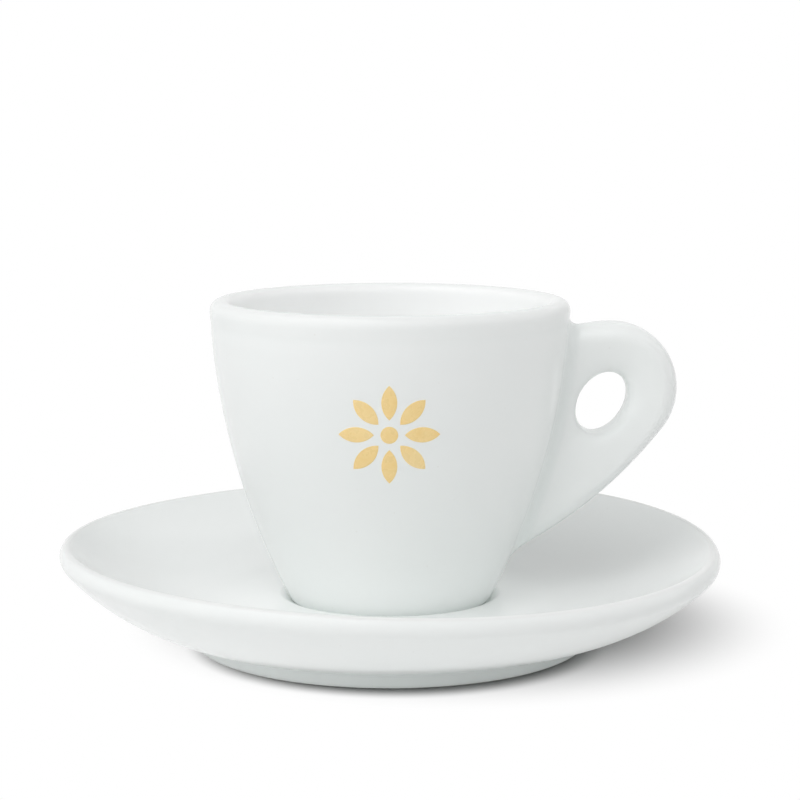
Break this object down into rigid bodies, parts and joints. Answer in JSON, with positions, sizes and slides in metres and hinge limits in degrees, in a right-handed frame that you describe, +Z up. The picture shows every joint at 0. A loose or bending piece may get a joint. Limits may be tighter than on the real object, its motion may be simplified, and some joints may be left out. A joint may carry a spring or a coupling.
{
  "type": "espresso cup with saucer",
  "caption": "White glazed espresso cup with a flared bowed wall, a pinched ear handle and a pale gold rosette, standing loose in the well of a dished saucer on a foot ring.",
  "frame": {"origin": "centre of the saucer's foot ring, on the table that the set stands on", "axes": "+Z up along the axis of cup and saucer, +X towards the handle, -Y towards the printed motif"},
  "size_m": [0.12, 0.12, 0.0627],
  "materials": {
    "porcelain": "clear glossy glaze on white porcelain",
    "gold_print": "satin fired enamel print"
  },
  "bodies": {
    "saucer": {"saucer": "porcelain"},
    "cup": {"cup_body": "porcelain", "cup_handle": "porcelain", "cup_motif": "gold_print"}
  },
  "joints": [
    {"name": "cup_lift", "type": "slide", "parent": "saucer", "child": "cup", "axis": [0, 0, 1], "range_m": [0, 0.06]}
  ]
}
